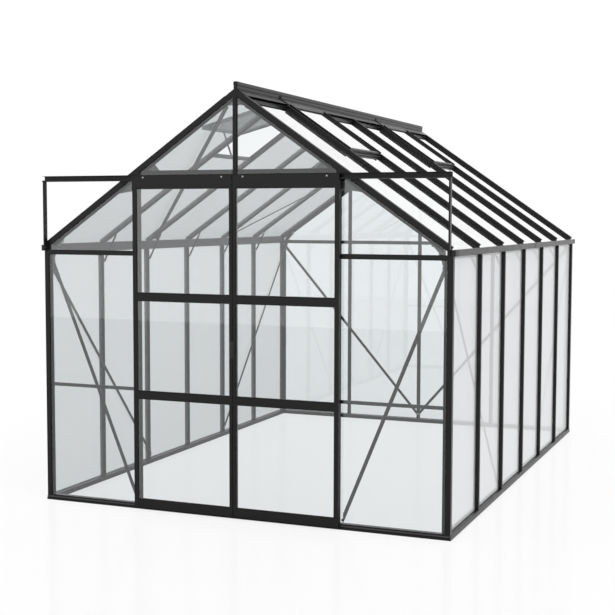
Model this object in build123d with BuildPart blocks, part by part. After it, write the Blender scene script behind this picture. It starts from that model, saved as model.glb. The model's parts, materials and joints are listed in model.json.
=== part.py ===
from build123d import *

import os
from math import atan2, cos, radians, sin, tan

# Glass greenhouse with six bays, two sliding doors and four roof vents.
# X runs across the house, Y along it with the doors at -Y, and Z is up. The origin is on the ground, in the
# middle of the house's box. Lengths are millimetres and angles are degrees.

os.makedirs("parts", exist_ok=True)

# Plan and heights of the house
bay_pitch = 620
side_bays = 6
gable_pitch = 650
gable_bays = 4
eaves_height = 1586
eaves_rise = 33
roof_pitch = 34.7

# Glazing bars: a head outside the glass, a flange under it and a web inside
glass_thickness = 4
glass_gap = 2
head_width = 22
head_depth = 24
gable_head_depth = 8
flange_width = 32
flange_thickness = 3
web_width = 14
web_depth = 6

# Corner posts and verge bars: a square tube with two glazing flanges
post_size = 30
post_flange = 22

# Sills: a step that carries the bars and a sloped skirt in front of it
sill_height = 30
sill_inner_depth = 24
skirt_reach = 3
skirt_top = 16
skirt_edge = 13

# Eaves beams, gutters and their end caps
beam_inner_reach = 20
beam_outer_reach = 12
beam_lip_width = 10
beam_lip_drop = 18
gutter_reach = 40
gutter_height = 36
gutter_wall = 3
gutter_round = 2
cap_length = 63
cap_reach = 34
cap_wall = 4

# Ridge
ridge_width = 22
ridge_web_drop = 44
ridge_neck = 14
ridge_overhang = 12
bulb_width = 29
bulb_height = 24
bulb_corner = 5
wing_length = 58
wing_thickness = 3
ridge_strip_start = 42
ridge_strip_length = 30
ridge_strip_height = 10
roof_glass_start = 20
roof_glass_overhang = 8
verge_overhang = 4

# Cross pieces of the gables
eaves_rail_height = 25
eaves_rail_rise = 4
mid_rail_height = 21
mid_rail_depth = 6
mid_rail_bottom = 732
lintel_rise = 426
lintel_height = 66
lintel_depth = 12

# Door rail and its hangers
rail_overhang = 15
rail_rise = 429
rail_height = 35
rail_depth = 30
rail_web = 3
rail_shelf = 3
rail_hood = 2
rib_width = 4
rib_height = 6
hanger_width = 10
hanger_depth = 30
hanger_reach = 12
hanger_foot = 4
hanger_chamfer = 6

# Sliding doors
running_gap = 6
door_lap = 8
meeting_gap = 5
door_depth = 30
door_bottom = 20
door_top_gap = 7
outer_stile = 26
meeting_stile = 18
door_glass_set = 4
door_rail_depth = 26
door_rail_height = 45
door_foot_height = 50
lower_rail_bottom = 693
upper_rail_bottom = 1293
header_drop = 45
header_height = 76
header_thickness = 4
roller_radius = 9.7
roller_clearance = 0.3
roller_flange = 1.8
roller_flange_width = 1.6
roller_side_gap = 0.5
axle_radius = 3
roller_outer_inset = 76
roller_inner_inset = 66
handle_bottom = 962
handle_height = 106
handle_seat = 15
handle_inset = 1.5
handle_overlap = 12
handle_reach = 14
handle_chamfer = 7

# Gusset plates and flat straps
plate_thickness = 6
plate_edge = 1
corner_plate_lap = 4
corner_plate_run = 90
corner_plate_waist = 32
corner_plate_rise = 11
corner_plate_drop = 96
door_plate_run = 130
door_plate_drop = 95
door_plate_inner_run = 116
door_plate_shoulder = 73
apex_plate_drop = 68
apex_plate_reach = 62
strap_width = 22
strap_thickness = 3
strap_foot = 36
front_strap_foot = 32
front_strap_side = 23
front_strap_drop = 74
side_strap_drop = 86
back_strap_drop = 26
roof_strap_top = 65
roof_strap_foot = 65
strap_end_gap = 1
knee_width = 12
knee_drop = 86
knee_run = 115
knee_inset = 11
knee_overrun = 4

# Roof vents: one to every three bays of a slope, in the middle one
bays_per_vent = 3
vent_hinge_gap = 6
vent_side_gap = 3
vent_length = 504
vent_opening = 20
vent_rail_width = 20
vent_rail_height = 12
vent_hinge_rail = 22
vent_foot_rail = 26
transom_width = 26
transom_drop = 3
stay_width = 12
stay_thickness = 4
stay_inset = 13

# Lines and places that the pieces share
pitch_cos = cos(radians(roof_pitch))
pitch_sin = sin(radians(roof_pitch))
pitch_tan = tan(radians(roof_pitch))
wall_line = gable_pitch * gable_bays / 2
end_line = bay_pitch * side_bays / 2
front_reach = head_depth + running_gap + door_depth + handle_reach
middle = (front_reach - cap_reach) / 2
front_line = end_line - middle
gable_set = head_depth - gable_head_depth
apex_height = eaves_height + eaves_rise + wall_line * pitch_tan
slope_length = wall_line / pitch_cos
post_inset = post_size - head_depth
web_back = flange_thickness + web_depth
plate_back = flange_thickness + plate_thickness
back_line = end_line + middle
bar_places = [middle - end_line + bay_pitch * bay for bay in range(1, side_bays)]
house_middle = Plane.XZ.offset(-middle)
eaves_rail_top = eaves_height + eaves_rail_rise
lintel_bottom = eaves_height + lintel_rise
lintel_top = lintel_bottom + lintel_height
rail_bottom = eaves_height + rail_rise
post_edge = wall_line - post_inset
flange_line = -post_inset - post_flange
gable_glass_edge = post_inset + glass_gap
vent_bays = [bay for bay in range(side_bays) if bay % bays_per_vent == bays_per_vent // 2]


def front_plane(ahead):
    """Returns the X-Z plane that lies this far ahead of the front end line and faces forward."""
    return Plane.XZ.offset(front_line + ahead)


def front_gable(ahead):
    """Returns the X-Z plane that lies this far ahead of the front gable's glazing line and faces forward."""
    return front_plane(gable_set + ahead)


def back_gable(outward):
    """Returns the plane this far behind the back gable's glazing line, facing backward, with +x at -X."""
    return Plane(origin=(0, back_line + gable_set + outward, 0), x_dir=(-1, 0, 0), z_dir=(0, 1, 0))


def wall_plane(outward):
    """Returns the Y-Z plane that lies this far outside the right glazing line and faces outward."""
    return Plane(origin=(wall_line + outward, 0, 0), x_dir=(0, 1, 0), z_dir=(1, 0, 0))


def slope_plane(outward):
    """Returns the plane so far outside the right slope's glazing line: along Y, and up to the apex."""
    x, z = slope_point(0, outward)
    return Plane(origin=(x, 0, z), x_dir=(0, 1, 0), z_dir=(pitch_sin, 0, pitch_cos))


def slope_point(run, outward):
    """Returns X and Z of a point so far down the right slope from the apex, and so far outside its glass."""
    return (run * pitch_cos + outward * pitch_sin, apex_height - run * pitch_sin + outward * pitch_cos)


def rising_plane(run, place):
    """Returns the plane square to the right slope, so far down it, that faces the apex with +y inside."""
    x, z = slope_point(run, 0)
    return Plane(origin=(x, place, z), x_dir=(0, 1, 0), z_dir=(-pitch_cos, 0, pitch_sin))


def roof_height(x, outward):
    """Returns the height over x of the line that runs this far outside the roof's glazing line."""
    return apex_height - abs(x) * pitch_tan + outward / pitch_cos


def roof_reach(height, outward):
    """Returns the x at which the line so far outside the roof's glazing line has this height."""
    return (apex_height - height + outward / pitch_cos) / pitch_tan


def under_roof(left, right, bottom, outward):
    """Returns the outline of an upright piece between two places whose top follows the roof."""
    top = [(right, roof_height(right, outward))]
    if left < 0 < right:
        top.append((0, roof_height(0, outward)))
    top.append((left, roof_height(left, outward)))
    return [(left, bottom), (right, bottom), *top]


def strap_outline(start, finish):
    """Returns a strap's outline between two points, with both ends cut along the second axis."""
    lean = atan2(abs(finish[1] - start[1]), abs(finish[0] - start[0]))
    half = strap_width / 2 / cos(lean)
    return [
        (start[0], start[1] - half),
        (finish[0], finish[1] - half),
        (finish[0], finish[1] + half),
        (start[0], start[1] + half),
    ]


def bar_outline(start, finish, width, overrun):
    """Returns a straight bar's outline along two points, run on past both by the overrun."""
    lean = atan2(finish[1] - start[1], finish[0] - start[0])
    along = (overrun * cos(lean), overrun * sin(lean))
    across = (-width / 2 * sin(lean), width / 2 * cos(lean))
    return [
        (start[0] - along[0] - across[0], start[1] - along[1] - across[1]),
        (finish[0] + along[0] - across[0], finish[1] + along[1] - across[1]),
        (finish[0] + along[0] + across[0], finish[1] + along[1] + across[1]),
        (start[0] - along[0] + across[0], start[1] - along[1] + across[1]),
    ]


def bay_edges(bay):
    """Returns the clear Y range of a bay of the long sides, between its two bar heads or the corner tube."""
    low = -front_line + post_inset
    high = back_line - post_inset
    if bay > 0:
        low = bar_places[bay - 1] + head_width / 2
    if bay < side_bays - 1:
        high = bar_places[bay] - head_width / 2
    return low, high


def cut_to_roof(outward):
    """Keeps what lies under the line that runs this far outside the gable's roof line."""
    reach = wall_line * 2
    Polygon(*under_roof(-reach, reach, -apex_height, outward), align=None, mode=Mode.INTERSECT)


def draw_head_and_flange():
    """Draws a glazing bar's head, outside at -y, and its flange."""
    Rectangle(head_width, head_depth, align=(Align.CENTER, Align.MAX))
    Rectangle(flange_width, flange_thickness, align=(Align.CENTER, Align.MIN))


def draw_web():
    """Draws a glazing bar's web, inside its flange."""
    with Locations((0, flange_thickness)):
        Rectangle(web_width, web_depth, align=(Align.CENTER, Align.MIN))


def draw_box(low, high):
    """Draws the rectangle between two corners."""
    with Locations(((low[0] + high[0]) / 2, (low[1] + high[1]) / 2)):
        Rectangle(high[0] - low[0], high[1] - low[1])


def keep(piece, name):
    """Labels a finished piece and writes it to its own file."""
    piece.part.label = name
    export_step(piece.part, f"parts/{name}.step")


# Sills, mitred at the corners
sill_reach = head_depth + skirt_reach
sill_outline = [
    (-sill_inner_depth, 0),
    (sill_reach, 0),
    (sill_reach, skirt_edge),
    (head_depth, skirt_top),
    (head_depth, sill_height),
    (-sill_inner_depth, sill_height),
]
mitre = Plane(origin=(wall_line, -front_line, 0), z_dir=(1, 1, 0))

with BuildPart() as front_sill:
    with BuildSketch(Plane(origin=(0, -front_line, 0), x_dir=(0, -1, 0), z_dir=(-1, 0, 0))):
        Polygon(*sill_outline, align=None)
    extrude(amount=-(wall_line + sill_reach))
    split(bisect_by=mitre, keep=Keep.BOTTOM)
    mirror(about=Plane.YZ)
keep(front_sill, "front_sill")

with BuildPart() as back_sill:
    mirror(front_sill.part, about=house_middle)
keep(back_sill, "back_sill")

with BuildPart() as right_sill:
    with BuildSketch(Plane(origin=(wall_line, middle, 0), x_dir=(1, 0, 0), z_dir=(0, -1, 0))):
        Polygon(*sill_outline, align=None)
    extrude(amount=end_line + sill_reach)
    split(bisect_by=mitre, keep=Keep.TOP)
    mirror(about=house_middle)
keep(right_sill, "right_sill")

with BuildPart() as left_sill:
    mirror(right_sill.part, about=Plane.YZ)
keep(left_sill, "left_sill")

# Corner posts: a tube with a flange for each wall's glass, and a shoulder that carries the verge
with BuildPart() as corner_posts:
    with BuildSketch(Plane(origin=(wall_line, -front_line, sill_height))):
        draw_box((-post_inset, -head_depth), (head_depth, post_inset))
        draw_box((-post_inset - post_flange, -gable_set), (-post_inset, flange_thickness - gable_set))
        draw_box((-flange_thickness, post_inset), (0, post_inset + post_flange))
    extrude(amount=eaves_height - sill_height)
    with BuildSketch(front_plane(-post_inset)):
        shoulder = under_roof(post_edge, wall_line + beam_outer_reach, eaves_height, -post_inset)
        Polygon(*shoulder, align=None)
    extrude(amount=post_size)
    mirror(about=Plane.YZ)
    mirror(about=house_middle)
keep(corner_posts, "corner_posts")

# Wall bars of the long sides
with BuildPart() as side_wall_bars:
    for place in bar_places:
        with BuildSketch(Plane(origin=(wall_line, place, sill_height), x_dir=(0, 1, 0), z_dir=(0, 0, 1))):
            draw_head_and_flange()
            draw_web()
        extrude(amount=eaves_height - sill_height)
    mirror(about=Plane.YZ)
keep(side_wall_bars, "side_wall_bars")

# Eaves beams, with a sloped top that the rafters lie on and a lip down inside the wall bars
beam_inner = wall_line - beam_inner_reach
beam_outer = wall_line + beam_outer_reach
with BuildPart() as eaves_beams:
    with BuildSketch(front_plane(-post_inset)):
        Polygon(*under_roof(beam_inner, beam_outer, eaves_height, -flange_thickness), align=None)
        draw_box((beam_inner, eaves_height - beam_lip_drop), (beam_inner + beam_lip_width, eaves_height))
    extrude(amount=-(end_line - post_inset) * 2)
    mirror(about=Plane.YZ)
keep(eaves_beams, "eaves_beams")

# Gutters: a floor beside the beam and an outer face with a rounded foot, closed by a cap at each end
gutter_outer = wall_line + gutter_reach
gutter_inner = gutter_outer - gutter_wall
gutter_top = eaves_height + gutter_height
gutter_start = cap_reach - cap_length
gutter_run = (end_line + gutter_start) * 2


def draw_gutter_floor():
    """Draws the section of the right gutter's floor."""
    draw_box((beam_outer, eaves_height), (gutter_inner, eaves_height + gutter_wall))


def draw_gutter_face(inner):
    """Draws the section of the right gutter from this X to its outer side, with a rounded foot."""
    with BuildLine() as outline:
        FilletPolyline(
            (inner, eaves_height),
            (gutter_outer, eaves_height),
            (gutter_outer, gutter_top),
            radius=gutter_round,
        )
        Polyline((gutter_outer, gutter_top), (inner, gutter_top), (inner, eaves_height))
    make_face(outline.edges())


with BuildPart() as gutter_floors:
    with BuildSketch(front_plane(gutter_start)):
        draw_gutter_floor()
    extrude(amount=-gutter_run)
    mirror(about=Plane.YZ)
keep(gutter_floors, "gutter_floors")

with BuildPart() as gutter_faces:
    with BuildSketch(front_plane(gutter_start)):
        draw_gutter_face(gutter_inner)
    extrude(amount=-gutter_run)
    mirror(about=Plane.YZ)
keep(gutter_faces, "gutter_faces")

with BuildPart() as gutter_end_caps:
    with BuildSketch(front_plane(gutter_start)):
        draw_gutter_floor()
        draw_gutter_face(gutter_inner)
    extrude(amount=cap_length)
    with BuildSketch(front_plane(cap_reach - cap_wall)):
        draw_gutter_face(beam_outer)
    extrude(amount=cap_wall)
    mirror(about=Plane.YZ)
    mirror(about=house_middle)
keep(gutter_end_caps, "gutter_end_caps")

# Rafters, cut square at the foot and upright at the ridge
web_start = slope_length - (beam_inner_reach + web_depth) / pitch_cos
with BuildPart() as rafters:
    for place in bar_places:
        with BuildSketch(rising_plane(slope_length, place)):
            draw_head_and_flange()
        extrude(amount=slope_length + ridge_width)
        with BuildSketch(rising_plane(web_start, place)):
            draw_web()
        extrude(amount=web_start + ridge_width)
    split(bisect_by=Plane.YZ.offset(ridge_width / 2), keep=Keep.TOP)
    mirror(about=Plane.YZ)
keep(rafters, "rafters")

# Verge bars along both gables, with a flange for the gable's glass and one for the roof's
roof_flange_end = (ridge_width / 2 + flange_thickness * pitch_sin) / pitch_cos
with BuildPart() as right_verge_bars:
    with BuildSketch(rising_plane(slope_length + verge_overhang, -front_line)):
        draw_box((-head_depth, -head_depth), (post_inset, post_inset))
    extrude(amount=slope_length + verge_overhang + post_size)
    with BuildSketch(rising_plane(slope_length - post_size, -front_line)):
        draw_box((-gable_set, post_inset), (flange_thickness - gable_set, post_inset + post_flange))
    extrude(amount=slope_length)
    split(bisect_by=Plane.YZ, keep=Keep.TOP)
    with BuildSketch(rising_plane(slope_length, -front_line)):
        draw_box((post_inset, 0), (post_inset + post_flange, flange_thickness))
    extrude(amount=slope_length - roof_flange_end)
    mirror(about=house_middle)
keep(right_verge_bars, "right_verge_bars")

with BuildPart() as left_verge_bars:
    mirror(right_verge_bars.part, about=Plane.YZ)
keep(left_verge_bars, "left_verge_bars")

# Ridge: a web between the gables and a neck with a bulb on top, with a wing over each slope's rafters
ridge_half = ridge_width / 2
wing_top = head_depth + wing_thickness
neck_top = roof_height(0, wing_top) + ridge_neck
ridge_run = (end_line + ridge_overhang) * 2
web_run = (end_line - post_inset) * 2
with BuildPart() as ridge:
    with BuildSketch(front_plane(-post_inset)):
        Polygon(*under_roof(-ridge_half, ridge_half, apex_height - ridge_web_drop, head_depth), align=None)
    extrude(amount=-web_run)
    with BuildSketch(front_plane(ridge_overhang)):
        Polygon(
            (0, roof_height(0, head_depth)),
            (ridge_half, roof_height(ridge_half, head_depth)),
            (ridge_half, neck_top),
            (-ridge_half, neck_top),
            (-ridge_half, roof_height(ridge_half, head_depth)),
            align=None,
        )
        with Locations((0, neck_top + bulb_height / 2)):
            RectangleRounded(bulb_width, bulb_height, bulb_corner)
    extrude(amount=-ridge_run)
keep(ridge, "ridge")

with BuildPart() as ridge_wings:
    with BuildSketch(front_plane(ridge_overhang)):
        Polygon(
            (ridge_half, roof_height(ridge_half, head_depth)),
            slope_point(wing_length, head_depth),
            slope_point(wing_length, wing_top),
            (ridge_half, roof_height(ridge_half, wing_top)),
            align=None,
        )
    extrude(amount=-ridge_run)
    mirror(about=Plane.YZ)
keep(ridge_wings, "ridge_wings")

# Strips under the ridge's wings, which close the top of the roof glass and carry the vents' hinges
with BuildPart() as ridge_strips:
    with BuildSketch(slope_plane(glass_thickness)):
        for bay in range(side_bays):
            low, high = bay_edges(bay)
            draw_box((low, -ridge_strip_start - ridge_strip_length), (high, -ridge_strip_start))
    extrude(amount=ridge_strip_height)
    mirror(about=Plane.YZ)
keep(ridge_strips, "ridge_strips")

# Door posts and the bars of both gables
door_opening = gable_pitch - head_width / 2
post_outside = gable_pitch + head_width / 2
apex_plate_bottom = apex_height - apex_plate_drop
with BuildPart() as door_posts:
    with BuildSketch(front_gable(0)):
        draw_box((door_opening, sill_height), (post_outside, apex_height))
        cut_to_roof(-post_inset)
    extrude(amount=gable_head_depth)
    with BuildSketch(front_gable(-flange_thickness)):
        draw_box((gable_pitch - flange_width / 2, sill_height), (gable_pitch + flange_width / 2, apex_height))
        cut_to_roof(flange_line)
    extrude(amount=flange_thickness)
    with BuildSketch(front_gable(-web_back)):
        draw_box((gable_pitch - web_width / 2, sill_height), (gable_pitch + web_width / 2, apex_height))
        cut_to_roof(flange_line)
    extrude(amount=web_depth)
    mirror(about=Plane.YZ)
keep(door_posts, "door_posts")

back_bar_places = (-gable_pitch, 0, gable_pitch)
with BuildPart() as gable_bars:
    with BuildSketch(front_gable(0)):
        draw_box((-head_width / 2, lintel_bottom), (head_width / 2, apex_height))
        cut_to_roof(-post_inset)
    extrude(amount=gable_head_depth)
    with BuildSketch(front_gable(-flange_thickness)):
        draw_box((-flange_width / 2, lintel_top), (flange_width / 2, apex_plate_bottom))
    extrude(amount=flange_thickness)
    with BuildSketch(front_gable(-web_back)):
        draw_box((-web_width / 2, lintel_top), (web_width / 2, apex_plate_bottom))
    extrude(amount=web_depth)
    with BuildSketch(back_gable(0)):
        for place in back_bar_places:
            draw_box((place - head_width / 2, sill_height), (place + head_width / 2, apex_height))
        cut_to_roof(-post_inset)
    extrude(amount=gable_head_depth)
    with BuildSketch(back_gable(-flange_thickness)):
        for place in back_bar_places:
            draw_box((place - flange_width / 2, sill_height), (place + flange_width / 2, apex_plate_bottom))
        cut_to_roof(flange_line)
    extrude(amount=flange_thickness)
    with BuildSketch(back_gable(-web_back)):
        for place in back_bar_places:
            draw_box((place - web_width / 2, sill_height), (place + web_width / 2, apex_plate_bottom))
        cut_to_roof(flange_line)
    extrude(amount=web_depth)
keep(gable_bars, "gable_bars")

# Lintel behind the glass over the doors, and the cross rails of both gables
lintel_half = gable_pitch - flange_width / 2
with BuildPart() as front_lintel:
    with BuildSketch(front_gable(-lintel_depth)):
        draw_box((-lintel_half, lintel_bottom), (lintel_half, lintel_top))
        cut_to_roof(flange_line)
    extrude(amount=lintel_depth)
keep(front_lintel, "front_lintel")

eaves_rail_bottom = eaves_rail_top - eaves_rail_height
with BuildPart() as eaves_rails:
    with BuildSketch(front_gable(0)):
        draw_box((post_outside, eaves_rail_bottom), (post_edge, eaves_rail_top))
    extrude(amount=gable_head_depth)
    with BuildSketch(back_gable(0)):
        draw_box((post_outside, eaves_rail_bottom), (post_edge, eaves_rail_top))
        draw_box((head_width / 2, eaves_rail_bottom), (door_opening, eaves_rail_top))
    extrude(amount=gable_head_depth)
    mirror(about=Plane.YZ)
keep(eaves_rails, "eaves_rails")

web_side = gable_pitch + web_width / 2
with BuildPart() as front_mid_rails:
    with BuildSketch(front_gable(-flange_thickness - mid_rail_depth)):
        draw_box((web_side, mid_rail_bottom), (post_edge, mid_rail_bottom + mid_rail_height))
    extrude(amount=mid_rail_depth)
    mirror(about=Plane.YZ)
keep(front_mid_rails, "front_mid_rails")

# Door rail: a channel that is open to the front, with a rib that the rollers run on
rail_half_length = wall_line + rail_overhang
rail_front = head_depth + rail_depth
rail_top = rail_bottom + rail_height
rib_top = rail_bottom + rail_shelf + rib_height
with BuildPart() as door_rail:
    with BuildSketch(Plane(origin=(rail_half_length, -front_line, 0), x_dir=(0, -1, 0), z_dir=(-1, 0, 0))):
        draw_box((head_depth, rail_bottom), (head_depth + rail_web, rail_top))
        draw_box((head_depth, rail_bottom), (rail_front, rail_bottom + rail_shelf))
        draw_box((rail_front - rib_width, rail_bottom), (rail_front, rib_top))
        draw_box((head_depth, rail_top - rail_hood), (rail_front, rail_top))
    extrude(amount=rail_half_length * 2)
keep(door_rail, "door_rail")

with BuildPart() as rail_hangers:
    with BuildSketch(front_plane(head_depth)):
        outer = wall_line + hanger_reach
        inner = outer - hanger_width
        foot = eaves_height + hanger_foot
        Polygon(
            (inner, foot + hanger_chamfer),
            (inner + hanger_chamfer, foot),
            (outer, foot),
            (outer, rail_bottom),
            (inner, rail_bottom),
            align=None,
        )
    extrude(amount=hanger_depth)
    mirror(about=Plane.YZ)
keep(rail_hangers, "rail_hangers")

# Gusset plates at the eaves corners, the door posts and the apexes
plate_line = -post_inset - plate_edge
plate_outer = post_edge - post_flange + corner_plate_lap
plate_waist = (plate_outer - corner_plate_waist, eaves_height + corner_plate_rise)
plate_tip = plate_outer - corner_plate_run
corner_plate = [
    (post_edge - post_flange, eaves_height - corner_plate_drop),
    (plate_outer, eaves_height - corner_plate_drop),
    (plate_outer, roof_height(plate_outer, plate_line)),
    (plate_tip, roof_height(plate_tip, plate_line)),
    (plate_tip, roof_height(plate_tip, flange_line)),
    plate_waist,
]
door_plate_tip = web_side + door_plate_run
outer_door_plate = [
    (web_side, roof_height(web_side, plate_line) - door_plate_drop),
    (door_plate_tip, roof_height(door_plate_tip, flange_line)),
    (door_plate_tip, roof_height(door_plate_tip, plate_line)),
    (web_side, roof_height(web_side, plate_line)),
]
inner_plate_reach = roof_reach(lintel_top, plate_line)
inner_plate_shoulder = inner_plate_reach - door_plate_shoulder
inner_door_plate = [
    (inner_plate_reach, lintel_top),
    (inner_plate_shoulder, roof_height(inner_plate_shoulder, plate_line)),
    (inner_plate_reach - door_plate_inner_run, lintel_top),
]
apex_plate = under_roof(-apex_plate_reach, apex_plate_reach, apex_plate_bottom, plate_line)
with BuildPart() as gusset_plates:
    for plane in (front_gable(-plate_back), back_gable(-plate_back)):
        with BuildSketch(plane):
            Polygon(*corner_plate, align=None)
            mirror(about=Plane.YZ)
            Polygon(*apex_plate, align=None)
        extrude(amount=plate_thickness)
    with BuildSketch(front_gable(-plate_back)):
        Polygon(*outer_door_plate, align=None)
        Polygon(*inner_door_plate, align=None)
        mirror(about=Plane.YZ)
    extrude(amount=plate_thickness)
keep(gusset_plates, "gusset_plates")

# Flat bracing straps: from the eaves corners to the feet of the bars
strap_end = sill_height + strap_foot
with BuildPart() as gable_straps:
    with BuildSketch(front_gable(-plate_back - strap_thickness)):
        top = (post_edge - post_flange, eaves_height - front_strap_drop)
        foot = (web_side + front_strap_side, sill_height + front_strap_foot)
        Polygon(*strap_outline(top, foot), align=None)
    extrude(amount=strap_thickness)
    with BuildSketch(back_gable(-web_back - strap_thickness)):
        top = (post_edge, eaves_height - back_strap_drop)
        Polygon(*strap_outline(top, (strap_end_gap, strap_end)), align=None)
    extrude(amount=strap_thickness)
    mirror(about=Plane.YZ)
keep(gable_straps, "gable_straps")

with BuildPart() as side_straps:
    with BuildSketch(wall_plane(-web_back - strap_thickness)):
        top = (flange_thickness - front_line - gable_set, eaves_height - side_strap_drop)
        Polygon(*strap_outline(top, (bar_places[1] + web_width / 2, strap_end)), align=None)
    extrude(amount=strap_thickness)
    mirror(about=house_middle)
    mirror(about=Plane.YZ)
keep(side_straps, "side_straps")

with BuildPart() as roof_straps:
    with BuildSketch(slope_plane(-web_back - strap_thickness)):
        top = (plate_back - front_line - gable_set, -roof_strap_top)
        foot = (bar_places[1] + web_width / 2, roof_strap_foot - slope_length)
        Polygon(*strap_outline(top, foot), align=None)
    extrude(amount=strap_thickness)
    mirror(about=house_middle)
    mirror(about=Plane.YZ)
keep(roof_straps, "roof_straps")

# Knee straps beside the webs, on the side that faces the middle of the house
knee_low = (wall_line - knee_inset, eaves_height - knee_drop)
knee_high = slope_point(slope_length - knee_run, -knee_inset)
with BuildPart() as knee_straps:
    for place in bar_places:
        face = place + web_width / 2 + strap_thickness
        if place > middle:
            face = place - web_width / 2
        with BuildSketch(Plane.XZ.offset(-face)):
            Polygon(*bar_outline(knee_low, knee_high, knee_width, knee_overrun), align=None)
        extrude(amount=strap_thickness)
    mirror(about=Plane.YZ)
keep(knee_straps, "knee_straps")

# Roof vents: frames between the rafters, hinged on the ridge's strips and resting on a transom. They are
# closed on the right slope and open on the left one
vent_places = [middle - end_line + bay_pitch * bay + bay_pitch / 2 for bay in vent_bays]
vent_half = (bay_pitch - head_width) / 2 - vent_side_gap
vent_hinge = wing_length + vent_hinge_gap
vent_seat = glass_thickness + ridge_strip_height
transom_place = vent_hinge + vent_length + transom_drop
with BuildPart() as vent_transoms:
    with BuildSketch(slope_plane(0)):
        for bay in vent_bays:
            low, high = bay_edges(bay)
            draw_box((low, -transom_place - transom_width / 2), (high, -transom_place + transom_width / 2))
    extrude(amount=vent_seat)
    mirror(about=Plane.YZ)
keep(vent_transoms, "vent_transoms")


def vent_plane(place, opening, lift):
    """Returns the plane of a vent on the right slope: along Y, and up to the hinge, so far over its foot."""
    x, z = slope_point(vent_hinge, vent_seat)
    lean = radians(roof_pitch - opening)
    return Plane(origin=(x, place, z), x_dir=(0, 1, 0), z_dir=(sin(lean), 0, cos(lean))).offset(lift)


def vent_side_rails(opening):
    """Makes the side rails of one slope's vents."""
    with BuildPart() as rails:
        for place in vent_places:
            with BuildSketch(vent_plane(place, opening, 0)):
                draw_box((-vent_half, -vent_length), (-vent_half + vent_rail_width, 0))
                draw_box((vent_half - vent_rail_width, -vent_length), (vent_half, 0))
            extrude(amount=vent_rail_height)
    return rails.part


def vent_cross_rails(opening):
    """Makes the hinge rails and foot rails of one slope's vents."""
    inner = vent_half - vent_rail_width
    with BuildPart() as rails:
        for place in vent_places:
            with BuildSketch(vent_plane(place, opening, 0)):
                draw_box((-inner, -vent_hinge_rail), (inner, 0))
                draw_box((-inner, -vent_length), (inner, vent_foot_rail - vent_length))
            extrude(amount=vent_rail_height)
    return rails.part


def vent_panes(opening):
    """Makes the glass of one slope's vents, half way up their frames."""
    inner = vent_half - vent_rail_width
    with BuildPart() as panes:
        for place in vent_places:
            with BuildSketch(vent_plane(place, opening, (vent_rail_height - glass_thickness) / 2)):
                draw_box((-inner, vent_foot_rail - vent_length), (inner, -vent_hinge_rail))
            extrude(amount=glass_thickness)
    return panes.part


for name, make in (
    ("vent_side_rails", vent_side_rails),
    ("vent_cross_rails", vent_cross_rails),
    ("vent_glass", vent_panes),
):
    with BuildPart() as vents:
        add(make(0))
        mirror(make(vent_opening), about=Plane.YZ)
    keep(vents, name)

# Stays that hold the open vents up from their transoms
with BuildPart() as vent_stays:
    lean = radians(roof_pitch - vent_opening)
    stay_run = vent_length - stay_inset
    hinge_x, hinge_z = slope_point(vent_hinge, vent_seat)
    foot_x, foot_z = slope_point(transom_place, vent_seat)
    top_x = hinge_x + stay_run * cos(lean)
    top_z = hinge_z - stay_run * sin(lean)
    half = stay_width / 2
    for place in vent_places:
        with BuildSketch(Plane.XZ.offset(-place - stay_thickness / 2)):
            Polygon(
                (top_x + half * cos(lean), top_z - half * sin(lean)),
                (top_x - half * cos(lean), top_z + half * sin(lean)),
                (foot_x - half * pitch_cos, foot_z + half * pitch_sin),
                (foot_x + half * pitch_cos, foot_z - half * pitch_sin),
                align=None,
            )
            mirror(about=Plane.YZ, mode=Mode.REPLACE)
        extrude(amount=stay_thickness)
keep(vent_stays, "vent_stays")

# Glass of the long walls, the slopes and the gables
with BuildPart() as side_wall_glass:
    with BuildSketch(wall_plane(0)):
        for bay in range(side_bays):
            low, high = bay_edges(bay)
            draw_box((low + glass_gap, sill_height), (high - glass_gap, eaves_height - glass_gap))
    extrude(amount=glass_thickness)
    mirror(about=Plane.YZ)
keep(side_wall_glass, "side_wall_glass")

roof_glass_foot = slope_length + roof_glass_overhang
with BuildPart() as roof_glass:
    with BuildSketch(slope_plane(0)):
        for bay in range(side_bays):
            low, high = bay_edges(bay)
            top = transom_place + transom_width / 2 if bay in vent_bays else roof_glass_start
            draw_box((low + glass_gap, -roof_glass_foot), (high - glass_gap, -top))
    extrude(amount=glass_thickness)
    mirror(about=Plane.YZ)
keep(roof_glass, "roof_glass")

side_pane = (post_outside + glass_gap, post_edge - glass_gap)
middle_pane = (head_width / 2 + glass_gap, door_opening - glass_gap)
with BuildPart() as front_glass:
    with BuildSketch(front_gable(0)):
        draw_box((side_pane[0], eaves_rail_top), (side_pane[1], apex_height))
        draw_box((middle_pane[0], lintel_bottom), (middle_pane[1], apex_height))
        cut_to_roof(-gable_glass_edge)
        draw_box((side_pane[0], sill_height), (side_pane[1], eaves_rail_bottom))
        mirror(about=Plane.YZ)
    extrude(amount=glass_thickness)
keep(front_glass, "front_glass")

with BuildPart() as back_glass:
    with BuildSketch(back_gable(0)):
        for low, high in (side_pane, middle_pane):
            draw_box((low, eaves_rail_top), (high, apex_height))
        cut_to_roof(-gable_glass_edge)
        for low, high in (side_pane, middle_pane):
            draw_box((low, sill_height), (high, eaves_rail_bottom))
        mirror(about=Plane.YZ)
    extrude(amount=glass_thickness)
keep(back_glass, "back_glass")

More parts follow.
